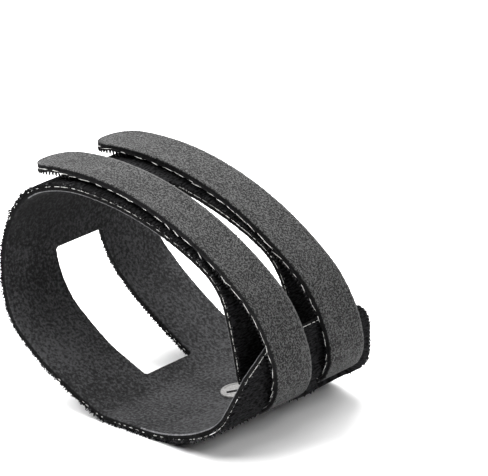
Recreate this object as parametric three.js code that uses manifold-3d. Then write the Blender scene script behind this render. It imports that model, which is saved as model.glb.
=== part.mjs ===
// Wrist brace: a wide band of loop fabric with a soft lining, rolled into a loop that stands on the
// floor, and closed by two straps of felt on hook tape. Millimetres, +Z up. The loop's axis runs
// along Y, and the near rim is the one at the lower Y.

import * as THREE from 'three';
import { mergeVertices } from 'three/addons/utils/BufferGeometryUtils.js';
import Module from 'manifold-3d';

const wasm = await Module();
wasm.setup();

// Layer thicknesses. The band's path runs through the middle of its wall, and the straps' path
// runs along the outer face of their felt.
const BAND_WALL = 2.1;
const LOOP_FABRIC = 1.1;
const STRAP_WALL = 1.6;
const HOOK_TAPE = 0.6;
const LAYER_GAP = 0.1;
const TAG_THICKNESS = 0.6;
const SEAT_GAP = 0.3;

// Steps between the cross-sections of a strip, and around a rounded corner
const SECTION_STEP = 1.25;
const CORNER_STEPS = 6;

// The band's cross-section, walked from its inner end: up the right side, over the top, down the
// left wall, along the floor and up the right side again, outside its own start
const BAND_START = { x: 62, z: 9.5, heading: 91 };
const BAND_ROWS = [
  { stretch: 'arm', length: 22, turn: 7 },
  { stretch: 'shoulder', length: 13, turn: 48 },
  { stretch: 'roof', length: 35, turn: 30 },
  { stretch: 'crown', length: 12, turn: 25 },
  { stretch: 'upper corner', length: 11, turn: 46 },
  { stretch: 'upper side', length: 17.5, turn: 38 },
  { stretch: 'lower side', length: 15, turn: 39 },
  { stretch: 'slope', length: 25.5, turn: 12 },
  { stretch: 'heel', length: 5.5, turn: 24 },
  { stretch: 'sole', length: 9, turn: 0 },
  { stretch: 'toe', length: 21.8, turn: 30.5 },
  { stretch: 'corner', length: 6.2, turn: 55.5 },
  { stretch: 'outer wall', length: 14, turn: 4 },
];

// The band's two rims, as Y at distances along its path
const BAND_RIMS = [
  { at: 0, near: 17.5, far: 49.5 },
  { at: 60, near: 8.8, far: 41.5 },
  { at: 120, near: 0, far: 54 },
  { at: 165, near: 0.5, far: 54 },
  { at: 185, near: 1, far: 54 },
  { at: 193, near: 5, far: 54 },
  { at: 200, near: 11, far: 54 },
  { at: 206, near: 19, far: 54 },
];
const ARM_CORNER = 5;
const OUTER_END_CORNER = 6;

// The slit that parts the two inner arms, from the inner end to a round apex on the roof
const SLIT_END = 60;
const SLIT_WIDTH = 6;
const SLIT_OVERCUT = 0.5;
const SLIT_MIDDLE = [
  { at: 0, y: 35.7 },
  { at: SLIT_END, y: 24.5 },
];

const WINDOW = { from: 107.9, to: 149.3, near: 18.3, far: 36.2, corner: 1.5 };

// The straps' cross-section, walked from the root under the lower right corner to the tip
const STRAP_START = { x: 65.6, z: 3.25, heading: 29 };
const STRAP_ROWS = [
  { stretch: 'root', length: 5, turn: 17.5 },
  { stretch: 'lower bow', length: 8, turn: 28.5 },
  { stretch: 'bow', length: 9, turn: 27 },
  { stretch: 'upper bow', length: 10.5, turn: 19 },
  { stretch: 'shoulder', length: 7, turn: 15.5 },
  { stretch: 'roof', length: 31, turn: 24 },
  { stretch: 'crown', length: 42, turn: 36 },
];
const STRAP_WIDTH = 12;
const STRAP_DRIFT = -0.108;
const STRAP_TIP_CORNER = 5.6;
const STRAPS = [
  { name: 'near', near: 18.6, length: 107.5 },
  { name: 'far', near: 37.6, length: 105 },
];

const TAG = { at: 171.8, y: 27.5, radius: 4.2 };

// How far a cutter reaches to either side of the wall that it goes through
const CUTTER_REACH = 3;

const COLOURS = {
  loopFabric: { color: 0x161617, roughness: 0.95 },
  lining: { color: 0x3a3a3c, roughness: 0.95 },
  felt: { color: 0x59595b, roughness: 0.95 },
  hookTape: { color: 0x101011, roughness: 0.7 },
  tag: { color: 0xcfcfcc, roughness: 0.6 },
};

// A path of arcs and straight stretches: gives the place and heading at a distance from its start
function walk(start, rows) {
  let { x, z } = start;
  let heading = THREE.MathUtils.degToRad(start.heading);
  let begin = 0;
  const stretches = rows.map(({ length, turn }) => {
    const bend = THREE.MathUtils.degToRad(turn) / length;
    const stretch = { x, z, heading, begin, bend };
    ({ x, z, heading } = along(stretch, length));
    begin += length;
    return stretch;
  });
  return (distance) => {
    const stretch = stretches.findLast((row) => row.begin <= distance) ?? stretches[0];
    return along(stretch, distance - stretch.begin);
  };
}

// The place and heading at a distance along one arc or straight stretch
function along({ x, z, heading, bend }, distance) {
  const turned = heading + bend * distance;
  if (bend === 0) {
    return { x: x + distance * Math.cos(heading), z: z + distance * Math.sin(heading), heading };
  }
  return {
    x: x + (Math.sin(turned) - Math.sin(heading)) / bend,
    z: z - (Math.cos(turned) - Math.cos(heading)) / bend,
    heading: turned,
  };
}

// Straight lines through the rows of a table: the value of one column at a distance
function lineThrough(rows, column) {
  return (distance) => {
    const next = Math.max(1, rows.findIndex((row) => row.at >= distance));
    const last = distance > rows.at(-1).at ? rows.length - 1 : next;
    const [a, b] = [rows[last - 1], rows[last]];
    const share = (distance - a.at) / (b.at - a.at);
    return THREE.MathUtils.lerp(a[column], b[column], share);
  };
}

// How far a corner of the given radius draws an edge in, at a distance from the strip's end
function roundOff(radius, distance) {
  const reach = Math.max(0, radius - Math.max(0, distance));
  return radius - Math.sqrt(radius * radius - reach * reach);
}

// The distances of a strip's cross-sections, closer together where its ends are rounded
function sections(from, to, startCorner, endCorner) {
  const list = [];
  const quarter = (step) => (Math.PI / 2) * (step / CORNER_STEPS);
  for (let step = 0; startCorner > 0 && step < CORNER_STEPS; step += 1) {
    list.push(from + startCorner * (1 - Math.cos(quarter(step))));
  }
  const begin = from + startCorner;
  const finish = to - endCorner;
  const count = Math.max(1, Math.round((finish - begin) / SECTION_STEP));
  for (let step = 0; step <= count; step += 1) {
    list.push(THREE.MathUtils.lerp(begin, finish, step / count));
  }
  for (let step = 1; endCorner > 0 && step <= CORNER_STEPS; step += 1) {
    list.push(finish + endCorner * Math.sin(quarter(step)));
  }
  return list;
}

// A closed strip of cloth: a segmented box, bent along a path between its near and far edges and
// between its inside and outside faces, which are offsets from the path, positive outwards. The
// corners give each corner's radius, and the length of a flared mouth at the strip's start
function strip(path, { from, to, near, far, inside, outside, corners = {} }) {
  const { startNear = 0, startFar = 0, endNear = 0, endFar = 0, mouth = 0 } = corners;
  const list = sections(from, to, Math.max(startNear, startFar, mouth), Math.max(endNear, endFar));
  const geometry = new THREE.BoxGeometry(1, 1, 1, list.length - 1, 1, 1);
  geometry.translate(0.5, 0.5, 0.5);
  geometry.deleteAttribute('normal');
  geometry.deleteAttribute('uv');
  const position = geometry.attributes.position;
  for (let index = 0; index < position.count; index += 1) {
    const distance = list[Math.round(position.getX(index) * (list.length - 1))];
    const { x, z, heading } = path(distance);
    const [toStart, toEnd] = [distance - from, to - distance];
    const low = near(distance) + roundOff(startNear, toStart) + roundOff(endNear, toEnd);
    const high = far(distance) - roundOff(startFar, toStart) - roundOff(endFar, toEnd);
    const offset = position.getZ(index) > 0.5 ? inside : outside;
    const y = position.getY(index) > 0.5 ? high : low;
    position.setXYZ(index, x + offset * Math.sin(heading), y, z - offset * Math.cos(heading));
  }
  return mergeVertices(geometry);
}

function toSolid(geometry) {
  return new wasm.Manifold(new wasm.Mesh({
    numProp: 3,
    vertProperties: new Float32Array(geometry.attributes.position.array),
    triVerts: new Uint32Array(geometry.index.array),
  }));
}

function cut(geometry, cutters) {
  let solid = toSolid(geometry);
  for (const cutter of cutters) {
    solid = solid.subtract(toSolid(cutter));
  }
  const mesh = solid.getMesh();
  const result = new THREE.BufferGeometry();
  result.setAttribute('position', new THREE.BufferAttribute(mesh.vertProperties, 3));
  result.setIndex(new THREE.BufferAttribute(mesh.triVerts, 1));
  return result;
}

function piece(name, geometry, look) {
  const flat = geometry.toNonIndexed();
  flat.computeVertexNormals();
  const mesh = new THREE.Mesh(flat, new THREE.MeshStandardMaterial({ ...look, metalness: 0 }));
  mesh.name = name;
  return mesh;
}

const bandPath = walk(BAND_START, BAND_ROWS);
const bandLength = BAND_ROWS.reduce((sum, row) => sum + row.length, 0);

// One layer of the band, with the window and the slit cut through it
function bandLayer(inside, outside) {
  const sheet = strip(bandPath, {
    from: 0,
    to: bandLength,
    near: lineThrough(BAND_RIMS, 'near'),
    far: lineThrough(BAND_RIMS, 'far'),
    inside,
    outside,
    corners: { startNear: ARM_CORNER, startFar: ARM_CORNER, endFar: OUTER_END_CORNER },
  });
  const through = { inside: -CUTTER_REACH, outside: CUTTER_REACH };
  const { corner } = WINDOW;
  const window = strip(bandPath, {
    from: WINDOW.from,
    to: WINDOW.to,
    near: () => WINDOW.near,
    far: () => WINDOW.far,
    ...through,
    corners: { startNear: corner, startFar: corner, endNear: corner, endFar: corner },
  });
  const middle = lineThrough(SLIT_MIDDLE, 'y');
  const apex = SLIT_WIDTH / 2 - LAYER_GAP;
  const slit = strip(bandPath, {
    from: -SLIT_OVERCUT,
    to: SLIT_END,
    near: (distance) => middle(distance) - SLIT_WIDTH / 2 - roundOff(ARM_CORNER, distance),
    far: (distance) => middle(distance) + SLIT_WIDTH / 2 + roundOff(ARM_CORNER, distance),
    ...through,
    corners: { endNear: apex, endFar: apex, mouth: SLIT_OVERCUT + ARM_CORNER },
  });
  return cut(sheet, [window, slit]);
}

// One layer of a strap: square at its root, with a round tip
function strapLayer({ near, length }, inside, outside) {
  const edge = (distance) => near + STRAP_DRIFT * distance;
  return strip(walk(STRAP_START, STRAP_ROWS), {
    from: 0,
    to: length,
    near: edge,
    far: (distance) => edge(distance) + STRAP_WIDTH,
    inside,
    outside,
    corners: { endNear: STRAP_TIP_CORNER, endFar: STRAP_TIP_CORNER },
  });
}

// The round tag, bent to lie on the lining
function tag() {
  const seat = -BAND_WALL / 2 - SEAT_GAP;
  const round = TAG.radius - LAYER_GAP;
  return strip(bandPath, {
    from: TAG.at - TAG.radius,
    to: TAG.at + TAG.radius,
    near: () => TAG.y - TAG.radius,
    far: () => TAG.y + TAG.radius,
    inside: seat - TAG_THICKNESS,
    outside: seat,
    corners: { startNear: round, startFar: round, endNear: round, endFar: round },
  });
}

const brace = new THREE.Group();
const seam = BAND_WALL / 2 - LOOP_FABRIC;
brace.add(piece('band_outer', bandLayer(seam, BAND_WALL / 2), COLOURS.loopFabric));
brace.add(piece('band_lining', bandLayer(-BAND_WALL / 2, seam - LAYER_GAP), COLOURS.lining));
brace.add(piece('round_tag', tag(), COLOURS.tag));
for (const strap of STRAPS) {
  const tape = HOOK_TAPE - STRAP_WALL;
  const felt = strapLayer(strap, tape + LAYER_GAP, 0);
  brace.add(piece(`strap_${strap.name}_felt`, felt, COLOURS.felt));
  const hooks = strapLayer(strap, -STRAP_WALL, tape);
  brace.add(piece(`strap_${strap.name}_hook`, hooks, COLOURS.hookTape));
}

// The origin is at the middle of the brace's underside
const box = new THREE.Box3().setFromObject(brace);
const centre = box.getCenter(new THREE.Vector3());
brace.position.set(-centre.x, -centre.y, -box.min.z);

export default brace;
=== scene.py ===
"""Dresses a wrap-around wrist brace: a ribbed loop-fabric band with a brushed lining, two felt straps on hook
tape, the thread along their edges, and a round woven tag. Each cloth piece is cut flat and then rolled."""

import math
import random

import bmesh
import bpy
from bpy.props import FloatProperty, FloatVectorProperty, PointerProperty
from mathutils import Matrix, Vector, noise


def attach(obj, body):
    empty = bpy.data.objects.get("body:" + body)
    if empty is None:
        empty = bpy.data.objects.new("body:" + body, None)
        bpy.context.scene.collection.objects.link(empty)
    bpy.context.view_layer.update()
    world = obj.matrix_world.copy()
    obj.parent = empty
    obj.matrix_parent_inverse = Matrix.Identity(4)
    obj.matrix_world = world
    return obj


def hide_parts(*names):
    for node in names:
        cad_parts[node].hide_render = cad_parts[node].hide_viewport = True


bl_info = {
    "name": "Wrist brace",
    "version": (1, 0, 0),
    "blender": (4, 5, 0),
    "location": "View3D > Sidebar > Brace",
    "description": "Builds the cloth, straps, thread and tag of a wrist brace",
    "category": "Mesh",
}

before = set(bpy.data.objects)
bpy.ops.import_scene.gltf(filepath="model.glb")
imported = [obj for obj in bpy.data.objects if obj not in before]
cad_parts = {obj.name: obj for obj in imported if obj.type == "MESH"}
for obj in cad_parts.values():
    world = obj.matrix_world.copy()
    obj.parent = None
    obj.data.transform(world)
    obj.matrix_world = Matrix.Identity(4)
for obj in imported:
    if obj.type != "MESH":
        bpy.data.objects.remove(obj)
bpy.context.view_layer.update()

MM = 0.001
BODY = "root"

# The brace's own frame, in millimetres: the middle of its underside
MIDDLE = Vector((36.151, 27.0, 0.0155))

# Where the cross-section starts (x, z, heading), then each stretch's length and turn in degrees
BAND_START = (62.0, 9.5, 91.0)
BAND_ROWS = (
    ("arm", 22.0, 7.0),
    ("shoulder", 13.0, 48.0),
    ("roof", 35.0, 30.0),
    ("crown", 12.0, 25.0),
    ("upper corner", 11.0, 46.0),
    ("upper side", 17.5, 38.0),
    ("lower side", 15.0, 39.0),
    ("slope", 25.5, 12.0),
    ("heel", 5.5, 24.0),
    ("sole", 9.0, 0.0),
    ("toe", 21.8, 30.5),
    ("corner", 6.2, 55.5),
    ("outer wall", 13.5, 4.0),
)
STRAP_START = (65.6, 3.25, 29.0)
STRAP_ROWS = (
    ("root", 5.0, 17.5),
    ("lower bow", 8.0, 28.5),
    ("bow", 9.0, 27.0),
    ("upper bow", 10.5, 19.0),
    ("shoulder", 7.0, 15.5),
    ("roof", 31.0, 24.0),
    ("crown", 42.0, 36.0),
)

# The band's rims: distance along it, near edge, far edge
BAND_RIMS = (
    (0.0, 17.5, 49.5),
    (60.0, 8.8, 41.5),
    (108.0, 0.9, 51.5),
    (122.0, -1.5, 54.0),
    (134.0, -1.8, 54.0),
    (148.0, -0.7, 54.0),
    (165.0, 0.5, 54.0),
    (185.0, 1.0, 54.0),
    (193.0, 5.0, 54.8),
    (200.0, 11.0, 55.0),
    (206.0, 19.0, 54.9),
    (214.0, 29.7, 54.9),
)
ARM_CORNER = 5.0
OUTER_END_CORNER = 8.5
SLIT_END = 60.0
SLIT_WIDTH = 6.0
SLIT_MIDDLE = ((0.0, 35.7), (60.0, 24.5))
# Half the width that is left at the slit's closed end
SLIT_TIP = 0.1
# The window: distance along the band, near edge, far edge
WINDOW = ((107.9, 18.5, 34.7), (122.0, 18.3, 36.2), (136.0, 18.3, 36.2), (148.8, 19.8, 36.2))
WINDOW_START, WINDOW_END = WINDOW[0][0], WINDOW[-1][0]
WINDOW_CORNER = 0.5

# Faces of the layers, as lifts off the path that each is rolled on
LOOP_FACES = (-0.05, 1.05)
LINING_FACES = (-1.05, -0.15)
FELT_FACES = (-0.9, 0.0)
TAPE_FACES = (-1.6, -1.0)
TAG_FACES = (-1.5, -1.15)

# How the near rim's thread shows through the pile: from and to along the band, stitch pitch, the share of the
# pitch that shows, and the share of stitches that do
NEAR_SEAM = (
    (0.0, 80.0, 2.3, 1.0, 1.0),
    (80.0, 98.0, 1.4, 0.5, 0.6),
    (137.0, 160.0, 1.6, 0.5, 0.55),
    (160.0, 181.0, 1.9, 0.6, 0.9),
    (181.0, 207.0, 1.5, 1.2, 1.0),
)
# Where the near rim's lining gets no painted highlight, from and to along the band, and the window's edges,
# which get none either: how far past the window along the band, and from and to across it
NO_RIM_HIGHLIGHT = (87.0, 166.0)
WINDOW_MARGIN = 1.0
WINDOW_ACROSS = (10.0, 44.0)
# How high the thread lies on the band's edge: distance along the band, lift
SEAM_LIFT = ((0.0, 0.15), (97.0, 0.15), (136.0, -0.1), (172.0, -0.1), (184.0, 0.4), (214.0, 0.4))

# Painted shade on the lining round the loop's crown and upper corner, whose face turns down away from the
# light: distance along the band, share of the colour that is kept
LINING_PAINTED_SHADE = ((62.0, 1.0), (76.0, 0.33), (92.0, 0.33), (108.0, 1.0))

# Lines of cells beside a cut edge, and the width of strip that has room for them
EDGE_LINES = (0.0, 0.12, 0.3, 0.6)
EDGE_ROOM = 4.0
# How far a cut edge wanders, its waves to a millimetre, and how far apart in the noise two edges are
FRAY = 0.2
FRAY_RATE = 1.9
FRAY_STRIDE = 7.3
FRAY_SEED = 5.0
# Cells across the band: its near strip, its openings, its far strip
BAND_CELLS = (5, 4, 6)

STRAP_WIDTH = 12.0
STRAP_DRIFT = -0.108
STRAP_TIP_CORNER = 5.6
STRAP_ROOT_CORNERS = (1.0, 3.0)
CORNER_STEPS = 24
# Each strap's name, near edge, where its sewn root starts to show, and tip
STRAPS = (("near", 18.6, 2.0, 107.5), ("far", 37.6, 1.4, 106.0))

# How deep each strap's root is sewn into the pile: distance along the strap, depth
ROOT_SINK = {
    "near": ((0.0, 1.8), (4.0, 1.5), (9.0, 0.6), (14.0, 0.0), (120.0, 0.0)),
    "far": ((0.0, 3.1), (3.0, 2.7), (6.0, 1.9), (10.0, 0.8), (15.0, 0.0), (120.0, 0.0)),
}
# The dent that each root presses into the band: distance along the band, depth
ROOT_DENT = {
    "near": ((183.5, 0.0), (185.0, 1.7), (189.0, 1.2), (193.0, 0.0), (210.0, 0.0)),
    "far": ((186.2, 0.0), (187.3, 2.7), (190.3, 1.7), (192.0, 0.55), (193.5, 0.0), (210.0, 0.0)),
}
# How far a dent reaches past its strap, how far it takes to fade, and the depth that presses the pile flat
DENT_MARGIN = 0.9
DENT_FADE = 0.8
DENT_FLAT = 0.4
# The pile that stands up round the roots: start, full height, end of full height and end along the band, its
# height, where it starts across the band and how far it takes to rise there
PILE_SWELL = (174.0, 184.0, 188.5, 200.0)
SWELL_HEIGHT = 0.85
SWELL_START = 28.0
SWELL_FADE = 5.0


def linear(hex_colour):
    """An sRGB hex colour as linear red, green and blue."""
    channels = [int(hex_colour[i:i + 2], 16) / 255 for i in (1, 3, 5)]
    return tuple(c / 12.92 if c <= 0.04045 else ((c + 0.055) / 1.055) ** 2.4 for c in channels)


class Bend:
    """A strip's path across the loop, as arcs and straight stretches walked from a start."""

    def __init__(self, start, rows):
        x, z, heading = start[0], start[1], math.radians(start[2])
        self.stretches = []
        self.length = 0.0
        for _, length, turn in rows:
            stretch = (self.length, x, z, heading, math.radians(turn) / length)
            self.stretches.append(stretch)
            x, z, heading = self.along(stretch, length)
            self.length += length

    @staticmethod
    def along(stretch, distance):
        """The place and heading at a distance into one stretch."""
        _, x, z, heading, bend = stretch
        if bend == 0:
            return x + distance * math.cos(heading), z + distance * math.sin(heading), heading
        turned = heading + bend * distance
        x += (math.sin(turned) - math.sin(heading)) / bend
        z -= (math.cos(turned) - math.cos(heading)) / bend
        return x, z, turned

    def section(self, distance, lift=0.0):
        """The point of the cross-section at a distance along the path, lifted outwards, in millimetres."""
        stretch = next((s for s in reversed(self.stretches) if s[0] <= distance), self.stretches[0])
        x, z, heading = self.along(stretch, distance - stretch[0])
        return x + lift * math.sin(heading), z - lift * math.cos(heading)

    def place(self, distance, across, lift):
        """A point of a rolled strip, in metres in the brace's frame."""
        x, z = self.section(distance, lift)
        return (Vector((x, across, z)) - MIDDLE) * MM


BAND = Bend(BAND_START, BAND_ROWS)
STRAP = Bend(STRAP_START, STRAP_ROWS)


def between(rows, distance, column):
    """The value of a table's column at a distance, on straight lines between its rows."""
    for low, high in zip(rows, rows[1:]):
        if distance <= high[0]:
            break
    share = (distance - low[0]) / (high[0] - low[0])
    return low[column] + share * (high[column] - low[column])


def round_off(radius, distance):
    """How far a round corner draws an edge in, at a distance from the end."""
    reach = max(0.0, radius - max(0.0, distance))
    return radius - math.sqrt(radius * radius - reach * reach)


def band_edges(distance):
    """The band's near rim, the near and far edges of its openings, and its far rim, at a distance."""
    near = between(BAND_RIMS, distance, 1) + round_off(ARM_CORNER, distance)
    far = between(BAND_RIMS, distance, 2) - round_off(ARM_CORNER, distance)
    far -= round_off(OUTER_END_CORNER, BAND.length - distance)
    start, end = WINDOW_START, WINDOW_END
    if distance <= SLIT_END:
        middle = between(SLIT_MIDDLE, distance, 1)
        half = SLIT_WIDTH / 2 + round_off(ARM_CORNER, distance)
        half -= round_off(SLIT_WIDTH / 2 - SLIT_TIP, SLIT_END - distance)
        return near, middle - half, middle + half, far
    if start <= distance <= end:
        corner = round_off(WINDOW_CORNER, distance - start) + round_off(WINDOW_CORNER, end - distance)
        return near, between(WINDOW, distance, 1) + corner, between(WINDOW, distance, 2) - corner, far
    if distance < start:
        left, right = SLIT_MIDDLE[1][1] - SLIT_TIP, SLIT_MIDDLE[1][1] + SLIT_TIP
        low, high = WINDOW[0][1] + WINDOW_CORNER, WINDOW[0][2] - WINDOW_CORNER
        share = (distance - SLIT_END) / (start - SLIT_END)
        return near, left + share * (low - left), right + share * (high - right), far
    low, high = WINDOW[-1][1] + WINDOW_CORNER, WINDOW[-1][2] - WINDOW_CORNER
    share = (distance - end) / (BAND.length - end)
    third = (far - near) / 3
    return near, low + share * (near + third - low), high + share * (far - third - high), far


def ease(share):
    """A smooth step from 0 to 1."""
    share = min(1.0, max(0.0, share))
    return share * share * (3 - 2 * share)


def band_settle(distance, across):
    """How far the sewn straps push the band's wall out or in at a place of its pattern."""
    start, full, level, end = PILE_SWELL
    if distance <= start:
        return 0.0
    rise = min(ease((distance - start) / (full - start)), ease((end - distance) / (end - level)))
    lift = SWELL_HEIGHT * rise * ease((across - SWELL_START) / SWELL_FADE)
    for name, near, _, _ in STRAPS:
        rows = ROOT_DENT[name]
        if distance > rows[0][0]:
            inside = 1.0
            for from_edge in (across - near, near + STRAP_WIDTH - across):
                inside *= ease((from_edge + DENT_MARGIN) / DENT_FADE)
            dent = between(rows, distance, 1)
            lift += inside * (-dent - lift * min(1.0, dent / DENT_FLAT))
    return lift


def strap_settle(name):
    """How far a strap is sunk, by its name, as a function of the place in its pattern."""
    return lambda distance, across: -between(ROOT_SINK[name], distance, 1)


def spaced(breaks, step):
    """Distances about a step apart that meet each break."""
    places = [breaks[0]]
    for low, high in zip(breaks, breaks[1:]):
        count = max(1, round((high - low) / step))
        places += [low + (high - low) * i / count for i in range(1, count + 1)]
    return places


def strip_lines(low, high, count):
    """Places across a strip between two cut edges: close together beside each edge, then evenly apart."""
    close = [gap * min(1.0, (high - low) / EDGE_ROOM) for gap in EDGE_LINES]
    start, end = low + close[-1], high - close[-1]
    middle = [start + (end - start) * i / count for i in range(1, count)]
    return [low + gap for gap in close] + middle + [high - gap for gap in reversed(close)]


def uneven(distance, edge):
    """How far a cut edge of cloth wanders at a distance along it."""
    return FRAY * noise.noise((distance * FRAY_RATE, edge * FRAY_STRIDE, FRAY_SEED))


def frayed_edges(distance):
    """The band's edges at a distance, as far in or out as each wanders there."""
    return [edge + uneven(distance, i) for i, edge in enumerate(band_edges(distance))]


def band_lines(distance):
    """Places across the band: its near strip, the strip of its openings, and its far strip."""
    near, low, high, far = frayed_edges(distance)
    near_cells, open_cells, far_cells = BAND_CELLS
    opening = [low + (high - low) * i / open_cells for i in range(1, open_cells)]
    return strip_lines(near, low, near_cells) + opening + strip_lines(high, far, far_cells)


def is_open(distance):
    """Whether the band is cut through, by its slit or its window, at a distance along it."""
    return distance < SLIT_END or WINDOW_START < distance < WINDOW_END


def band_gap(distance, across):
    """How far a place of the band's pattern is from its nearest cut edge."""
    near, low, high, far = frayed_edges(distance)
    gaps = [across - near, far - across, distance, BAND.length - distance]
    if is_open(distance):
        gaps.append(max(low - across, across - high))
    return max(0.0, min(gaps))


def band_highlight_gap(distance, across):
    """How far a place of the band's pattern is from an edge that gets a painted highlight."""
    along_window = WINDOW_START - WINDOW_MARGIN < distance < WINDOW_END + WINDOW_MARGIN
    at_window = along_window and WINDOW_ACROSS[0] < across < WINDOW_ACROSS[1]
    if at_window or NO_RIM_HIGHLIGHT[0] < distance < NO_RIM_HIGHLIGHT[1]:
        return math.inf
    slant = 0.0
    if distance > ARM_CORNER:
        # The near rim's rise over a millimetre
        slant = band_edges(distance + 0.5)[0] - band_edges(distance - 0.5)[0]
    from_rim = across - band_edges(distance)[0]
    return min(band_gap(distance, across), from_rim * math.cos(math.atan(slant)))


def flat_cut(distances, across):
    """A flat sheet of cells in pattern space: X along the strip, Y across it, Z its lift."""
    lines = [across(distance) for distance in distances]
    columns, rows = len(distances) - 1, len(lines[0]) - 1
    bm = bmesh.new()
    bmesh.ops.create_grid(bm, x_segments=columns, y_segments=rows, size=0.5)
    for vert in bm.verts:
        column, row = round((vert.co.x + 0.5) * columns), round((vert.co.y + 0.5) * rows)
        vert.co = (distances[column], lines[column][row], 0)
    return bm


def band_cut(step):
    """The band's flat cut, with its slit and window."""
    round_end = SLIT_END - SLIT_WIDTH / 2
    breaks = (0.0, ARM_CORNER, round_end, SLIT_END, WINDOW_START, WINDOW_END, BAND.length)
    bm = flat_cut(spaced(breaks, step), band_lines)
    gone = []
    for face in bm.faces:
        middle = face.calc_center_median()
        _, low, high, _ = band_edges(middle.x)
        if is_open(middle.x) and low + FRAY < middle.y < high - FRAY:
            gone.append(face)
    bmesh.ops.delete(bm, geom=gone, context="FACES")
    return bm


def strap_edges(near, root, length, distance):
    """A strap's near and far edges at a distance along it, drawn in at its tip and its root's corners."""
    edge = near + STRAP_DRIFT * distance
    tip = round_off(STRAP_TIP_CORNER, length - distance)
    near_in, far_in = (tip + round_off(radius, distance - root) for radius in STRAP_ROOT_CORNERS)
    low = edge + near_in + uneven(distance, near)
    high = edge + STRAP_WIDTH - far_in + uneven(distance, near + 1)
    return low, high


def strap_gap(near, root, length):
    """How far a place of a strap's pattern is from its edges and tip, as a function of the place."""
    def gap(distance, across):
        low, high = strap_edges(near, root, length, distance)
        start, reach = length - STRAP_TIP_CORNER, STRAP_WIDTH / 2 - STRAP_TIP_CORNER
        if distance > start:
            middle = near + STRAP_DRIFT * distance + STRAP_WIDTH / 2
            out = math.hypot(distance - start, max(0.0, abs(across - middle) - reach))
            return max(0.0, STRAP_TIP_CORNER - out)
        return max(0.0, min(across - low, high - across))

    return gap


def strap_cut(near, root, length, step, count):
    """A strap's flat cut, with small round corners at its root and large ones at its tip."""
    def across(distance):
        return strip_lines(*strap_edges(near, root, length, distance), count)

    turn = [math.sin(math.pi / 2 * i / CORNER_STEPS) for i in range(1, CORNER_STEPS + 1)]
    end = root + max(STRAP_ROOT_CORNERS)
    corner = [root + (end - root) * (1 - share) for share in reversed(turn)]
    straight = spaced((end, length - STRAP_TIP_CORNER), step)
    tip = [length - STRAP_TIP_CORNER + STRAP_TIP_CORNER * share for share in turn]
    return flat_cut(corner + straight + tip, across)


def felt_highlight_gap(near, root, length):
    """How far a place of a felt's pattern is from its root or its far edge, where its face gets a painted
    highlight.
    """
    def gap(distance, across):
        return min(distance - root, strap_edges(near, root, length, distance)[1] - across)

    return gap


def thicken(bm, back, front, gap, radius):
    """Gives a flat cut its wall, and rounds the rim of its front face, whose vertices it returns."""
    for vert in bm.verts:
        vert.co.z = back
    grown = bmesh.ops.extrude_face_region(bm, geom=bm.faces[:])
    face = [part for part in grown["geom"] if isinstance(part, bmesh.types.BMVert)]
    bmesh.ops.translate(bm, verts=face, vec=(0, 0, front - back))
    bmesh.ops.recalc_face_normals(bm, faces=bm.faces[:])
    for wall in bm.faces:
        wall.material_index = 1 if abs(wall.normal.z) < 0.5 else 0
    towards = math.copysign(1.0, back - front)
    for vert in face:
        vert.co.z += towards * round_off(radius, gap(vert.co.x, vert.co.y))
    return face


def mark_painted_highlight(bm, back, front, gap, reach):
    """Gives the faces of the front side that are close to a cut edge the material of a painted highlight."""
    for face in bm.faces:
        middle = face.calc_center_median()
        in_front = abs(middle.z - front) < abs(middle.z - back)
        if face.material_index == 0 and in_front and gap(middle.x, middle.y) < reach:
            face.material_index = 2


def roll(bm, bend, settle):
    """Rolls a piece from pattern space onto its settled path, and keeps its flat place as its UV map."""
    layer = bm.loops.layers.uv.new("pattern")
    for face in bm.faces:
        for loop in face.loops:
            loop[layer].uv = loop.vert.co.xy
    for vert in bm.verts:
        distance, across, lift = vert.co
        vert.co = bend.place(distance, across, lift + settle(distance, across))
    bmesh.ops.reverse_faces(bm, faces=bm.faces[:])


def finish_piece(bm, name, materials, sharp=30):
    """Makes the object of a piece, smooth but for its sharp edges, and puts it on the body."""
    bm.normal_update()
    for face in bm.faces:
        face.smooth = True
    for edge in bm.edges:
        if len(edge.link_faces) == 2:
            edge.smooth = edge.calc_face_angle() < math.radians(sharp)
    mesh = bpy.data.meshes.new(name)
    bm.to_mesh(mesh)
    bm.free()
    for material in materials:
        mesh.materials.append(material)
    piece = bpy.data.objects.new(name, mesh)
    bpy.context.scene.collection.objects.link(piece)
    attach(piece, BODY)
    return piece


def flat_area(bm):
    """The area of a flat cut, in square metres."""
    return sum(face.calc_area() for face in bm.faces) * MM * MM


def add(tree, kind, settings=None, **inputs):
    """Adds a node with its settings, and fills or links its inputs."""
    made = tree.nodes.new(kind)
    for key, value in (settings or {}).items():
        setattr(made, key, value)
    for key, value in inputs.items():
        socket = made.inputs[key.replace("_", " ")]
        if isinstance(value, bpy.types.NodeSocket):
            tree.links.new(value, socket)
        else:
            socket.default_value = value
    return made


def ramp_stops(ramp, *stops):
    """Sets a colour ramp's stops, each a place and a linear colour."""
    elements = ramp.color_ramp.elements
    while len(elements) < len(stops):
        elements.new(0.5)
    for element, (place, colour) in zip(elements, stops):
        element.position = place
        element.color = (*colour, 1.0)


def shade(colour, times):
    """A colour made darker or lighter."""
    return tuple(min(1.0, c * times) for c in colour)


# How much further light fibres depart from a cloth's colour than dark ones, and how deep its fuzz is
LIGHT_FIBRE = 1.6
FUZZ_DEPTH = 0.3


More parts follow.
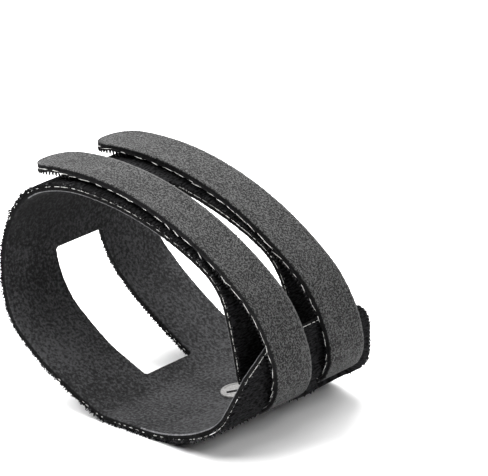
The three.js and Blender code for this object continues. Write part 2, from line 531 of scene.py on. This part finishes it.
def cloth_material(
    name, colour, fleck_mm, spread, bump, roughness=1.0, sheen=0.0, cloud=0.0, cloud_mm=14.0,
    reach=0.16, rise=None, gloss=0.2, stretch=1.0, painted_shade=(),
):
    """A fibrous cloth: flecks of lighter and darker fibre of a given size, which can be longer across the
    pattern than along it, slow clouding, and painted shade that darkens it along some of the pattern:
    distances in millimetres with the share of the colour that each keeps."""
    material = bpy.data.materials.new(name)
    material.use_nodes = True
    tree = material.node_tree
    surface = tree.nodes["Principled BSDF"]
    surface.inputs["Roughness"].default_value = roughness
    surface.inputs["Specular IOR Level"].default_value = gloss
    surface.inputs["Sheen Weight"].default_value = sheen
    surface.inputs["Sheen Roughness"].default_value = 0.6
    pattern = add(tree, "ShaderNodeUVMap", {"uv_map": "pattern"}).outputs["UV"]
    if stretch == 1:
        place = add(tree, "ShaderNodeTexCoord").outputs["Object"]
    else:
        place = add(tree, "ShaderNodeMapping", Vector=pattern, Scale=(MM, MM / stretch, 1)).outputs["Vector"]
    fleck = add(
        tree, "ShaderNodeTexNoise", Vector=place, Scale=1 / (2 * fleck_mm * MM), Detail=3.0, Roughness=0.65
    )
    patch = add(tree, "ShaderNodeTexNoise", Vector=place, Scale=1 / (cloud_mm * MM), Detail=2.0)
    sum_up = add(tree, "ShaderNodeMath", {"operation": "MULTIPLY_ADD"})
    tree.links.new(patch.outputs["Fac"], sum_up.inputs[0])
    sum_up.inputs[1].default_value = cloud
    tree.links.new(fleck.outputs["Fac"], sum_up.inputs[2])
    ramp = add(tree, "ShaderNodeValToRGB", Fac=sum_up.outputs[0])
    centre = 0.5 + cloud / 2
    ramp_stops(
        ramp,
        (centre - reach, shade(colour, 1 - spread)),
        (centre, colour),
        (centre + (rise or reach), shade(colour, 1 + LIGHT_FIBRE * spread)),
    )
    tree.links.new(ramp.outputs["Color"], surface.inputs["Base Color"])
    # Painted shade: the colour darkened along some of the pattern
    if painted_shade:
        along = add(tree, "ShaderNodeSeparateXYZ", Vector=pattern).outputs["X"]
        share = add(tree, "ShaderNodeMapRange", Value=along, From_Max=BAND.length).outputs["Result"]
        shade_ramp = add(tree, "ShaderNodeValToRGB", Fac=share)
        ramp_stops(shade_ramp, *((distance / BAND.length, (light,) * 3) for distance, light in painted_shade))
        both = add(tree, "ShaderNodeVectorMath", {"operation": "MULTIPLY"})
        tree.links.new(ramp.outputs["Color"], both.inputs[0])
        tree.links.new(shade_ramp.outputs["Color"], both.inputs[1])
        tree.links.new(both.outputs["Vector"], surface.inputs["Base Color"])
    fuzz = add(tree, "ShaderNodeBump", Height=fleck.outputs["Fac"], Strength=bump, Distance=FUZZ_DEPTH * MM)
    tree.links.new(fuzz.outputs["Normal"], surface.inputs["Normal"])
    return material


def size_property(name, description, default_mm):
    """A length that a user can change, with its default in millimetres."""
    return FloatProperty(name=name, description=description, default=default_mm * MM, unit="LENGTH")


def colour_property(name, description, default_hex):
    """A colour that a user can change, with its default as sRGB hex."""
    return FloatVectorProperty(
        name=name, description=description, default=linear(default_hex), subtype="COLOR")


class BraceSizes(bpy.types.PropertyGroup):
    """Sizes of the cloth's relief and of the sewing."""

    rib_pitch: size_property("Rib pitch", "Spacing of the loop fabric's ribs", 0.9)
    rib_height: size_property("Rib height", "Depth of the grooves between the ribs", 0.25)
    edge_width: size_property("Edge width", "Width of the painted highlight along a cut edge", 0.25)
    felt_edge: size_property("Felt edge highlight", "Width of the painted highlight along the felt", 0.5)
    pile_pitch: size_property("Pile pitch", "Spacing of the stray loops on the band", 1.4)
    pile_height: size_property("Pile height", "How far the stray loops stand off", 0.5)
    fringe_pitch: size_property("Fringe pitch", "Spacing of the frayed pile's tufts", 0.3)
    fringe_length: size_property("Fringe length", "How far the frayed pile stands out", 0.5)
    stitch_pitch: size_property("Stitch pitch", "Spacing of the band's stitches", 1.5)
    strap_stitch_pitch: size_property("Strap stitch pitch", "Spacing of the straps' stitches", 3.4)
    thread_width: size_property("Thread width", "Thickness of the thread", 0.16)
    hook_pitch: size_property("Hook pitch", "Spacing of the tape's hooks", 1.0)
    hook_height: size_property("Hook height", "How far the hooks stand off the tape", 0.85)


class BraceColours(bpy.types.PropertyGroup):
    """Colours of the brace's materials."""

    loop: colour_property("Loop fabric", "Ribbed loop pile", "#1b1b1c")
    lining: colour_property("Lining", "Brushed lining", "#2e2e2f")
    felt: colour_property("Felt", "Heather felt of the straps", "#323232")
    tape: colour_property("Hook tape", "Woven ground of the hook tape", "#0d0d0e")
    thread: colour_property("Thread", "Edge stitching", "#d8d8d4")
    tag: colour_property("Tag", "Round woven tag", "#7c7b7a")


def edge_material(name, colour):
    """A cut or worn edge of cloth: one fibre colour with a fine nap."""
    return cloth_material(name, colour, fleck_mm=0.3, spread=0.35, bump=0.4)


# Shades of the pieces' own colours: cut edges, frayed ends and stray loops, and painted highlights on some
# frayed tufts and along the lining's and the felt's edges
CUT_EDGE = 0.22
FRAYED = 0.5
STRAY_LOOP = 1.3
FRAYED_GLINT = 2.0
LINING_EDGE_HIGHLIGHT = 5.0
FELT_EDGE_HIGHLIGHT = 2.3

# The ribs of the loop fabric: cells to a rib, the rounding of its rim, how full a rib's tufts are and how
# much they differ, from rib to rib and along it, the roundness of a crown, and how deep the grooves are on
# the face and more so at a cut edge, within a reach of it
RIB_CELLS = 4
LOOP_RIM = 0.15
TUFT, TUFT_SPREAD = 0.8, 0.7
TUFT_STRIDE, TUFT_RATE = 3.7, 0.6
CROWN_ROUND = 0.8
GROOVE, EDGE_GROOVE = 0.3, 2.2
EDGE_GROOVE_REACH = 0.8


class BRACE_OT_loop_fabric(bpy.types.Operator):
    """Rolls the band's outer layer of ribbed loop fabric"""

    bl_idname = "brace.loop_fabric"
    bl_label = "Loop fabric"

    def execute(self, context):
        sizes, colours = context.scene.brace_sizes, context.scene.brace_colours
        pitch, height = sizes.rib_pitch / MM, sizes.rib_height / MM
        bm = band_cut(pitch / RIB_CELLS)
        area = flat_area(bm)
        for vert in thicken(bm, *LOOP_FACES, band_gap, LOOP_RIM):
            distance, across, _ = vert.co
            rib = math.floor(distance / pitch)
            tuft = TUFT + TUFT_SPREAD * noise.noise((rib * TUFT_STRIDE, across * TUFT_RATE, 0.0))
            crown = abs(math.sin(math.pi * distance / pitch)) ** CROWN_ROUND
            brink = math.exp(-band_gap(distance, across) / EDGE_GROOVE_REACH)
            vert.co.z -= height * (GROOVE + EDGE_GROOVE * brink) * (1 - tuft * crown)
        roll(bm, BAND, band_settle)
        # Nylon loop pile, knitted in ribs: black, matt, with a grey bloom in streaks along the ribs' crowns
        pile = cloth_material(
            "Nylon loop pile", colours.loop[:], fleck_mm=0.2, spread=0.85, bump=0.8,
            reach=0.08, rise=0.2, gloss=0.05, stretch=4.0,
        )
        cut = edge_material("Cut loop pile", shade(colours.loop[:], CUT_EDGE))
        piece = finish_piece(bm, "loop_fabric", [pile, cut], sharp=60)
        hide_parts("band_outer")
        return {"FINISHED"}


# The fringe's tufts: how far each strays from its place as a share of the pitch, its lift on the cut edge,
# the limits of its way along, out of and off the edge, its reach as a share of the length, its sides, its
# radii at the root and the tip, how deep it is rooted, and the share that gets a painted highlight
FRINGE_STRAY = 0.4
FRINGE_LIFT = (0.1, 1.0)
FRINGE_WAY = ((-0.5, 0.5), (0.3, 1.0), (-0.2, 1.0))
FRINGE_REACH = (0.5, 1.3)
FRINGE_SIDES = 4
FRINGE_RADII = (0.2, 0.06)
FRINGE_ROOT = 0.12
FRINGE_GLINT_SHARE = 0.3


def fringe_edges():
    """The loop fabric's cut edges: distances along each, which of the band's edges it is, the way out, and
    the share of the fringe's length that it has."""
    rim = (0.5, BAND.length - 0.5)
    window = (WINDOW_START + 0.8, WINDOW_END - 0.8)
    slit = (ARM_CORNER, SLIT_END - 2)
    return (
        (rim, 0, -1, 1.15),
        (rim, 3, 1, 0.8),
        (window, 1, 1, 0.6),
        (window, 2, -1, 0.6),
        (slit, 1, 1, 0.35),
        (slit, 2, -1, 0.35),
    )


def stand_tuft(bm, middle, way, depth, sides, radii):
    """Stands a tapered tuft of fibre at a place of the pattern, and returns its vertices."""
    turn = way.to_track_quat("Z", "Y").to_matrix().to_4x4()
    made = bmesh.ops.create_cone(
        bm, cap_ends=True, segments=sides, radius1=radii[0], radius2=radii[1], depth=depth,
        matrix=Matrix.Translation(middle) @ turn,
    )
    return made["verts"]


class BRACE_OT_fringe(bpy.types.Operator):
    """Stands the frayed ends of the pile along the band's cut edges"""

    bl_idname = "brace.fringe"
    bl_label = "Fringe"

    def execute(self, context):
        sizes, colours = context.scene.brace_sizes, context.scene.brace_colours
        pitch, length = sizes.fringe_pitch / MM, sizes.fringe_length / MM
        draw = random.Random(3)
        bm = bmesh.new()
        for breaks, edge, side, share in fringe_edges():
            for distance in spaced(breaks, pitch):
                distance += draw.uniform(-FRINGE_STRAY, FRINGE_STRAY) * pitch
                place = Vector((distance, band_edges(distance)[edge], draw.uniform(*FRINGE_LIFT)))
                along, out, off = (draw.uniform(*limits) for limits in FRINGE_WAY)
                way = Vector((along, side * out, off)).normalized()
                reach = length * share * draw.uniform(*FRINGE_REACH)
                middle = place + way * (reach / 2 - FRINGE_ROOT)
                tuft = stand_tuft(bm, middle, way, reach, FRINGE_SIDES, FRINGE_RADII)
                # Painted highlight on a share of the tufts
                if draw.random() < FRINGE_GLINT_SHARE:
                    for face in {face for vert in tuft for face in vert.link_faces}:
                        face.material_index = 1
        roll(bm, BAND, band_settle)
        # The floor presses the lowest tufts flat
        for vert in bm.verts:
            vert.co.z = max(vert.co.z, 0.0)
        # Broken nylon filaments: black, some with a painted highlight where they catch the light
        dark = edge_material("Frayed pile", shade(colours.loop[:], FRAYED))
        glint = edge_material("Frayed pile glints", shade(colours.lining[:], FRAYED_GLINT))
        finish_piece(bm, "fringe", [dark, glint])
        return {"FINISHED"}


# The stray loops: where the open outer face starts along the band, how far they keep from its rims, from a
# cut edge and from a strap, how far each strays as a share of the pitch, how far it leans, its reach as a
# share of the height, its sides, its radii at the root and the tip, and how deep it is rooted
PILE_START = 97.0
PILE_INSET = 1.0
PILE_EDGE = 0.5
PILE_STRAP = 1.0
PILE_STRAY = 0.5
PILE_LEAN = 0.7
PILE_REACH = (0.3, 1.2)
PILE_SIDES = 3
PILE_RADII = (0.22, 0.08)
PILE_ROOT = 0.15


def under_strap(distance, across):
    """Whether a place of the band's pattern is under the sewn root of a strap."""
    if distance <= ROOT_DENT["near"][0][0]:
        return False
    return any(near - PILE_STRAP < across < near + STRAP_WIDTH + PILE_STRAP for _, near, _, _ in STRAPS)


class BRACE_OT_pile(bpy.types.Operator):
    """Stands stray loops off the band's outer face"""

    bl_idname = "brace.pile"
    bl_label = "Pile"

    def execute(self, context):
        sizes, colours = context.scene.brace_sizes, context.scene.brace_colours
        pitch, height = sizes.pile_pitch / MM, sizes.pile_height / MM
        draw = random.Random(5)
        bm = bmesh.new()
        for row in spaced((PILE_START, BAND.length - PILE_INSET), pitch):
            near, _, _, far = band_edges(row)
            for column in spaced((near + PILE_INSET, far - PILE_INSET), pitch):
                distance = row + draw.uniform(-PILE_STRAY, PILE_STRAY) * pitch
                across = column + draw.uniform(-PILE_STRAY, PILE_STRAY) * pitch
                lean = [draw.uniform(-PILE_LEAN, PILE_LEAN) for _ in range(2)]
                way = Vector((*lean, 1)).normalized()
                reach = height * draw.uniform(*PILE_REACH)
                middle = Vector((distance, across, LOOP_FACES[1])) + way * (reach / 2 - PILE_ROOT)
                on_floor = BAND.place(*middle).z < 2 * sizes.pile_height
                at_edge = band_gap(distance, across) < PILE_EDGE
                if not (on_floor or at_edge or under_strap(distance, across)):
                    stand_tuft(bm, middle, way, reach + PILE_ROOT, PILE_SIDES, PILE_RADII)
        roll(bm, BAND, band_settle)
        # Nylon filaments pulled out of their loops: black, a little paler than the ground
        stray = edge_material("Stray loops", shade(colours.loop[:], STRAY_LOOP))
        finish_piece(bm, "pile", [stray])
        return {"FINISHED"}


# The size of the lining's, the felts' and the tapes' cells along them, the number of the straps' cells
# across, and the rounding of each one's rim
LINING_STEP, LINING_RIM = 0.5, 0.25
FELT_STEP, FELT_CELLS, FELT_RIM = 0.5, 10, 0.2
TAPE_STEP, TAPE_CELLS, TAPE_RIM = 0.8, 4, 0.1


class BRACE_OT_lining(bpy.types.Operator):
    """Rolls the band's brushed lining, with its dark cut edge"""

    bl_idname = "brace.lining"
    bl_label = "Lining"

    def execute(self, context):
        sizes, colours = context.scene.brace_sizes, context.scene.brace_colours
        bm = band_cut(LINING_STEP)
        area = flat_area(bm)
        inner, outer = LINING_FACES
        thicken(bm, outer, inner, band_gap, LINING_RIM)
        # Painted highlight: a pale line along the lining's cut edges where they catch the light
        mark_painted_highlight(bm, outer, inner, band_highlight_gap, sizes.edge_width / MM)
        roll(bm, BAND, band_settle)
        # Brushed polyester knit: soft mid-dark grey, no gloss, faint clouding where the nap lies both ways,
        # and painted shade round the loop's crown and upper corner
        knit = cloth_material(
            "Brushed polyester knit", colours.lining[:], fleck_mm=0.36, spread=0.65, bump=0.5,
            cloud=0.3, reach=0.12, painted_shade=LINING_PAINTED_SHADE,
        )
        edge = edge_material("Cut lining", shade(colours.loop[:], CUT_EDGE))
        edge_highlight = edge_material("Lining edge highlight", shade(colours.lining[:], LINING_EDGE_HIGHLIGHT))
        piece = finish_piece(bm, "lining", [knit, edge, edge_highlight])
        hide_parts("band_lining")
        return {"FINISHED"}


class BRACE_OT_straps(bpy.types.Operator):
    """Rolls the two straps: felt faces on hook tape"""

    bl_idname = "brace.straps"
    bl_label = "Straps"

    def execute(self, context):
        sizes, colours = context.scene.brace_sizes, context.scene.brace_colours
        # Needle-punched heather felt: black and pale fibres mixed, a salt-and-pepper grey with a fuzzy face
        heather = cloth_material(
            "Heather felt", colours.felt[:], fleck_mm=0.2, spread=0.97, bump=0.9,
            sheen=0.05, cloud=0.1, cloud_mm=4.0, reach=0.045, rise=0.117,
        )
        side = edge_material("Felt side", colours.tape[:])
        # Painted highlight: a pale line along the felt's root and far edge where grazing light catches its
        # fuzz
        edge_highlight = edge_material("Felt edge highlight", shade(colours.felt[:], FELT_EDGE_HIGHLIGHT))
        # Woven nylon hook tape: black ground with a dull sheen
        ground = cloth_material(
            "Nylon hook tape", colours.tape[:], fleck_mm=0.3, spread=0.4, bump=0.3, roughness=0.7,
        )
        for name, near, root, length in STRAPS:
            settle = strap_settle(name)
            gap = strap_gap(near, root, length)
            bm = strap_cut(near, root, length, FELT_STEP, FELT_CELLS)
            area = flat_area(bm)
            thicken(bm, *FELT_FACES, gap, FELT_RIM)
            # Painted highlight along the felt's root and far edge
            mark_painted_highlight(bm, *FELT_FACES, felt_highlight_gap(near, root, length), sizes.felt_edge / MM)
            roll(bm, STRAP, settle)
            felt = finish_piece(bm, f"{name}_felt", [heather, side, edge_highlight])
            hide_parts(f"strap_{name}_felt")
            bm = strap_cut(near, root, length, TAPE_STEP, TAPE_CELLS)
            inner, outer = TAPE_FACES
            thicken(bm, outer, inner, gap, TAPE_RIM)
            roll(bm, STRAP, settle)
            tape = finish_piece(bm, f"{name}_tape", [ground, ground])
            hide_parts(f"strap_{name}_hook")
        return {"FINISHED"}


# The hooks: how far past the root they start and before the tip they end, how far they keep from the band
# and from the tape's edges, the width that is left over in a row, their sides, their radii at the root and
# the tip, how deep they are rooted, and the spacing of the points of the band that they keep clear of
HOOK_START = 12.0
HOOK_END = 0.7
HOOK_CLEAR = 0.4
HOOK_INSET = 0.1
HOOK_SPARE = 0.3
HOOK_SIDES = 5
HOOK_RADII = (0.38, 0.2)
HOOK_ROOT = 0.05
BAND_PROBE_STEP = 0.5


class BRACE_OT_hooks(bpy.types.Operator):
    """Stands the hooks on the tape where it is clear of the band"""

    bl_idname = "brace.hooks"
    bl_label = "Hooks"

    def execute(self, context):
        sizes, colours = context.scene.brace_sizes, context.scene.brace_colours
        pitch, height = sizes.hook_pitch / MM, sizes.hook_height / MM
        places = spaced((0.0, BAND.length), BAND_PROBE_STEP)
        band_points = [Vector(BAND.section(distance, LOOP_FACES[1])) for distance in places]
        down = Matrix.Rotation(math.pi, 4, "X")
        # Cut nylon hooks: black, a little glossy
        plastic = cloth_material(
            "Nylon hooks", colours.tape[:], fleck_mm=0.3, spread=0.2, bump=0.1, roughness=0.5,
        )
        for name, near, root, length in STRAPS:
            bm = bmesh.new()
            for distance in spaced((root + HOOK_START, length - HOOK_END), pitch):
                tip = Vector(STRAP.section(distance, TAPE_FACES[0] - height))
                if min((tip - point).length for point in band_points) < HOOK_CLEAR:
                    continue
                corner = round_off(STRAP_TIP_CORNER, length - distance)
                edge = near + STRAP_DRIFT * distance + corner + HOOK_INSET
                width = STRAP_WIDTH - 2 * corner - 2 * HOOK_INSET
                count = max(1, int((width - HOOK_SPARE) / pitch))
                for i in range(count + 1):
                    lift = TAPE_FACES[0] - height / 2 + HOOK_ROOT
                    middle = Vector((distance, edge + width * i / count, lift))
                    bmesh.ops.create_cone(
                        bm, cap_ends=True, segments=HOOK_SIDES, radius1=HOOK_RADII[0], radius2=HOOK_RADII[1],
                        depth=height, matrix=Matrix.Translation(middle) @ down,
                    )
            roll(bm, STRAP, strap_settle(name))
            finish_piece(bm, f"{name}_hooks", [plastic])
        return {"FINISHED"}


# The stitches: limits of their length and spacing as shares of the pitch, and of their sinking as shares of
# the width, and the sides and rings of one
STITCH_LENGTH = (0.6, 1.3)
STITCH_SPACING = (0.75, 1.25)
STITCH_SINK = (-0.4, 0.4)
STITCH_SIDES, STITCH_RINGS = 6, 4
# The spacing of a seam's points, and closer at a strap's tip
SEAM_STEP = 0.5
TIP_STEP = 0.1
# The share of the pitch that shows of each seam but the near rim's, and the share of the far rim's stitches
FAR_SEAM, FAR_KEPT = 0.6, 0.7
SLIT_SEAM = 1.3
WINDOW_SEAM = 0.7
STRAP_SEAM = 1.1
# The seam beside the window's end: from and to, as distances before that end
WINDOW_SEAM_SPAN = (10.0, 1.0)
# The outer end's seam: how far out it lies, its lift, how far it keeps from the rims, and its points' spacing
END_SEAM_OUT = 0.05
END_SEAM_LIFT = 0.5
END_SEAM_INSET = 0.5
END_SEAM_STEP = 1.0
# How high a strap's thread lies above its tape's face: along the strap, near its ends, and at its root
SEAM_LOW, SEAM_HIGH, SEAM_ROOT = 0.1, 0.55, 0.85


def sew(bm, points, pitch, width, draw, share=1.0, kept=1.0):
    """Lays stitches along a line of pattern points, each sunk a little more or less into the cloth."""
    upright = Matrix.Rotation(math.pi / 2, 4, "Y")
    length = pitch * share
    travelled, wanted = 0.0, pitch / 2
    for start, end in zip(points, points[1:]):
        run = (end - start).length
        while run > 0 and travelled + run >= wanted:
            centre = start.lerp(end, (wanted - travelled) / run)
            along = (end - start).normalized()
            half = length / 2 * draw.uniform(*STITCH_LENGTH)
            sink = width * draw.uniform(*STITCH_SINK)
            turn = Matrix.Rotation(math.atan2(along.y, along.x), 4, "Z")
            inward = Vector((-along.y, along.x, 0)) * sink
            size = Matrix.Diagonal((half, width / 2, width / 2, 1))
            if draw.random() < kept:
                bmesh.ops.create_uvsphere(
                    bm, u_segments=STITCH_SIDES, v_segments=STITCH_RINGS, radius=1,
                    matrix=Matrix.Translation(centre + inward) @ turn @ size @ upright,
                )
            wanted += pitch * draw.uniform(*STITCH_SPACING)
        travelled += run


def edge_seams():
    """The lines of thread along the band's four edges, from the arms to the outer end."""
    distances = spaced((0.0, BAND.length), SEAM_STEP)
    lifts = [between(SEAM_LIFT, distance, 1) for distance in distances]
    edges = zip(*(band_edges(distance) for distance in distances))
    return [[Vector(point) for point in zip(distances, edge, lifts)] for edge in edges]


def strap_seam(near, root, length):
    """The line of thread round a strap: along its near edge, round its tip and back along its far edge."""
    low, high, top = (TAPE_FACES[0] + lift for lift in (SEAM_LOW, SEAM_HIGH, SEAM_ROOT))
    lifts = ((0.0, top), (7.0, high), (15.0, low), (length - 12, low), (length - 8, high), (length, high))
    tip = length - 2
    line, back = [], []
    for distance in spaced((root, tip), SEAM_STEP) + spaced((tip, length), TIP_STEP):
        lift = between(lifts, distance, 1)
        near_edge, far_edge = strap_edges(near, root, length, distance)
        line.append(Vector((distance, near_edge, lift)))
        back.append(Vector((distance, far_edge, lift)))
    return line + back[::-1]


class BRACE_OT_thread(bpy.types.Operator):
    """Sews the thread along the edges of the band and the straps"""

    bl_idname = "brace.thread"
    bl_label = "Thread"

    def execute(self, context):
        sizes, colours = context.scene.brace_sizes, context.scene.brace_colours
        # Spun polyester thread: off-white, matt, a little hairy
        thread = cloth_material(
            "Spun polyester thread", colours.thread[:], fleck_mm=0.8, spread=0.6, bump=0.3,
        )
        draw = random.Random(7)
        bm = bmesh.new()
        pitch, width = sizes.stitch_pitch / MM, sizes.thread_width / MM
        near, low, high, far = edge_seams()
        for start, stop, spacing, share, kept in NEAR_SEAM:
            line = [point for point in near if start <= point.x <= stop]
            sew(bm, line, spacing, width, draw, share, kept)
        sew(bm, far[::-1], pitch, width, draw, FAR_SEAM, FAR_KEPT)
        inner, outer = near[-1].y + END_SEAM_INSET, far[-1].y - END_SEAM_INSET
        end = BAND.length + END_SEAM_OUT
        line = [Vector((end, across, END_SEAM_LIFT)) for across in spaced((inner, outer), END_SEAM_STEP)]
        sew(bm, line, pitch, width, draw)
        for edge in (low[::-1], high):
            line = [point for point in edge if point.x < SLIT_END]
            sew(bm, line, pitch, width, draw, SLIT_SEAM)
        start, stop = (WINDOW_END - distance for distance in WINDOW_SEAM_SPAN)
        line = [point for point in high if start < point.x < stop]
        sew(bm, line, pitch, width, draw, WINDOW_SEAM)
        roll(bm, BAND, band_settle)
        finish_piece(bm, "band_thread", [thread])
        for name, edge, root, length in STRAPS:
            bm = bmesh.new()
            line = strap_seam(edge, root, length)
            sew(bm, line, sizes.strap_stitch_pitch / MM, width, draw, STRAP_SEAM)
            roll(bm, STRAP, strap_settle(name))
            finish_piece(bm, f"{name}_thread", [thread])
        return {"FINISHED"}


# The tag: its middle on the band's pattern, its radius and sides, the width of its flat rim and the step
# inside it, and its stripe's size, its turn in degrees, and how deep it is laid
TAG_PLACE = (170.8, 30.3)
TAG_RADIUS = 4.8
TAG_SIDES = 64
TAG_RIM = 0.45
TAG_STEP = 0.12
STRIPE_SIZE = (6.8, 0.75, 0.24)
STRIPE_TURN = 58
STRIPE_SINK = 0.04


class BRACE_OT_tag(bpy.types.Operator):
    """Lays the round woven tag on the lining"""

    bl_idname = "brace.tag"
    bl_label = "Tag"

    def execute(self, context):
        colours = context.scene.brace_colours
        bm = bmesh.new()
        inner, outer = TAG_FACES
        made = bmesh.ops.create_circle(bm, cap_ends=True, segments=TAG_SIDES, radius=TAG_RADIUS)
        bmesh.ops.translate(bm, verts=made["verts"], vec=(*TAG_PLACE, outer))
        grown = bmesh.ops.extrude_face_region(bm, geom=bm.faces[:])
        top = [part for part in grown["geom"] if isinstance(part, bmesh.types.BMVert)]
        bmesh.ops.translate(bm, verts=top, vec=(0, 0, inner - outer))
        bmesh.ops.recalc_face_normals(bm, faces=bm.faces[:])
        face = min(bm.faces, key=lambda f: f.calc_center_median().z)
        bmesh.ops.inset_region(bm, faces=[face], thickness=TAG_RIM, depth=0.0)
        bmesh.ops.inset_region(bm, faces=[face], thickness=TAG_STEP, depth=-TAG_STEP)
        stripe = bmesh.ops.create_cube(bm, size=1)["verts"]
        bmesh.ops.scale(bm, verts=stripe, vec=STRIPE_SIZE)
        bmesh.ops.rotate(bm, verts=stripe, matrix=Matrix.Rotation(math.radians(STRIPE_TURN), 3, "Z"))
        bmesh.ops.translate(bm, verts=stripe, vec=(*TAG_PLACE, inner + STRIPE_SINK))
        for face in {face for vert in stripe for face in vert.link_faces}:
            face.material_index = 1
        roll(bm, BAND, band_settle)
        # Woven satin: pale, smooth, with a faint sheen
        satin = cloth_material(
            "Woven satin", colours.tag[:], fleck_mm=0.25, spread=0.3, bump=0.2, roughness=0.6,
        )
        dark = edge_material("Dark bar thread", colours.tape[:])
        piece = finish_piece(bm, "tag", [satin, dark])
        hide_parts("round_tag")
        return {"FINISHED"}


# The photo's view: azimuth and elevation in degrees, the point at the middle of the image and the
# distance to it in metres, and the focal length in pixels
VIEW_ANGLES = (41.8, 23.0)
VIEW_TARGET = Vector((0.01809, 0.0, 0.04473))
VIEW_DISTANCE = 0.818
VIEW_FOCAL = 3493.0
IMAGE_WIDTH = 488
FILM_WIDTH = 36.0
FAR_CLIP = 20.0

# Soft lights round the table: name, degrees round from the image's left through its front, degrees up, and
# watts, then each one's side and distance in metres, and the strength of the white room round them
LIGHTS = (
    ("overhead", 0, 89, 3.2),
    ("left", 0, 45, 15.0),
    ("right front", 135, 45, 7.2),
    ("right back", 225, 45, 8.2),
    ("back", 270, 50, 22.0),
    ("left back", 315, 45, 16.0),
)
LIGHT_SIZE = 0.7
LIGHT_DISTANCE = 1.2
ROOM_STRENGTH = 0.02
# Half the floor's side, in metres
FLOOR_HALF = 4.0


def add_light(name, around, up, watts):
    """A square soft light at an angle round the table and a height, aimed at the brace."""
    data = bpy.data.lights.new(name, "AREA")
    data.size = LIGHT_SIZE
    data.energy = watts
    light = bpy.data.objects.new(name, data)
    around, up = math.radians(VIEW_ANGLES[0] + 180 + around), math.radians(up)
    out = Vector((math.cos(around) * math.cos(up), math.sin(around) * math.cos(up), math.sin(up)))
    light.location = out * LIGHT_DISTANCE
    light.rotation_euler = out.to_track_quat("Z", "Y").to_euler()
    bpy.context.scene.collection.objects.link(light)


class BRACE_OT_stage(bpy.types.Operator):
    """Sets the pale floor, the soft lights and the camera"""

    bl_idname = "brace.stage"
    bl_label = "Stage"

    def execute(self, context):
        scene = context.scene
        bm = bmesh.new()
        bmesh.ops.create_grid(bm, x_segments=1, y_segments=1, size=FLOOR_HALF)
        mesh = bpy.data.meshes.new("floor")
        bm.to_mesh(mesh)
        bm.free()
        # Matt white paper: pale, with hardly any gloss
        paper = bpy.data.materials.new("White paper sweep")
        paper.use_nodes = True
        surface = paper.node_tree.nodes["Principled BSDF"]
        surface.inputs["Base Color"].default_value = (*linear("#f4f4f4"), 1)
        surface.inputs["Roughness"].default_value = 0.9
        surface.inputs["Specular IOR Level"].default_value = 0.1
        mesh.materials.append(paper)
        floor = bpy.data.objects.new("floor", mesh)
        scene.collection.objects.link(floor)

        world = bpy.data.worlds.new("Soft room")
        world.use_nodes = True
        room = world.node_tree.nodes["Background"]
        room.inputs["Color"].default_value = (1, 1, 1, 1)
        room.inputs["Strength"].default_value = ROOM_STRENGTH
        scene.world = world
        for light in LIGHTS:
            add_light(*light)

        turn, tilt = (math.radians(a) for a in VIEW_ANGLES)
        back = Vector((math.sin(turn) * math.cos(tilt), -math.cos(turn) * math.cos(tilt), math.sin(tilt)))
        data = bpy.data.cameras.new("photo view")
        data.sensor_width = FILM_WIDTH
        data.lens = VIEW_FOCAL / IMAGE_WIDTH * FILM_WIDTH
        data.clip_end = FAR_CLIP
        camera = bpy.data.objects.new("photo view", data)
        camera.location = VIEW_TARGET + back * VIEW_DISTANCE
        camera.rotation_euler = back.to_track_quat("Z", "Y").to_euler()
        scene.collection.objects.link(camera)
        scene.camera = camera
        scene.view_settings.view_transform = "Standard"
        return {"FINISHED"}


class BRACE_PT_panel(bpy.types.Panel):
    """Lists the brace's pieces in the sidebar"""

    bl_idname = "BRACE_PT_panel"
    bl_label = "Wrist brace"
    bl_space_type = "VIEW_3D"
    bl_region_type = "UI"
    bl_category = "Brace"

    def draw(self, context):
        for group in (context.scene.brace_sizes, context.scene.brace_colours):
            box = self.layout.box()
            for key in group.__annotations__:
                box.prop(group, key)
        for operator in PIECES:
            self.layout.operator(operator.bl_idname)


PIECES = (
    BRACE_OT_loop_fabric,
    BRACE_OT_fringe,
    BRACE_OT_pile,
    BRACE_OT_lining,
    BRACE_OT_straps,
    BRACE_OT_hooks,
    BRACE_OT_thread,
    BRACE_OT_tag,
    BRACE_OT_stage,
)
CLASSES = (BraceSizes, BraceColours, *PIECES, BRACE_PT_panel)


def register():
    """Adds the brace's operators, panel and settings."""
    for made in CLASSES:
        bpy.utils.register_class(made)
    bpy.types.Scene.brace_sizes = PointerProperty(type=BraceSizes)
    bpy.types.Scene.brace_colours = PointerProperty(type=BraceColours)


def unregister():
    """Takes the brace's operators, panel and settings away."""
    del bpy.types.Scene.brace_colours
    del bpy.types.Scene.brace_sizes
    for made in reversed(CLASSES):
        bpy.utils.unregister_class(made)


def main():
    """Builds the stage and the brace."""
    register()
    bpy.ops.brace.stage()
    bpy.ops.brace.loop_fabric()
    bpy.ops.brace.fringe()
    bpy.ops.brace.pile()
    bpy.ops.brace.lining()
    bpy.ops.brace.straps()
    bpy.ops.brace.hooks()
    bpy.ops.brace.thread()
    bpy.ops.brace.tag()


if __name__ == "__main__":
    main()
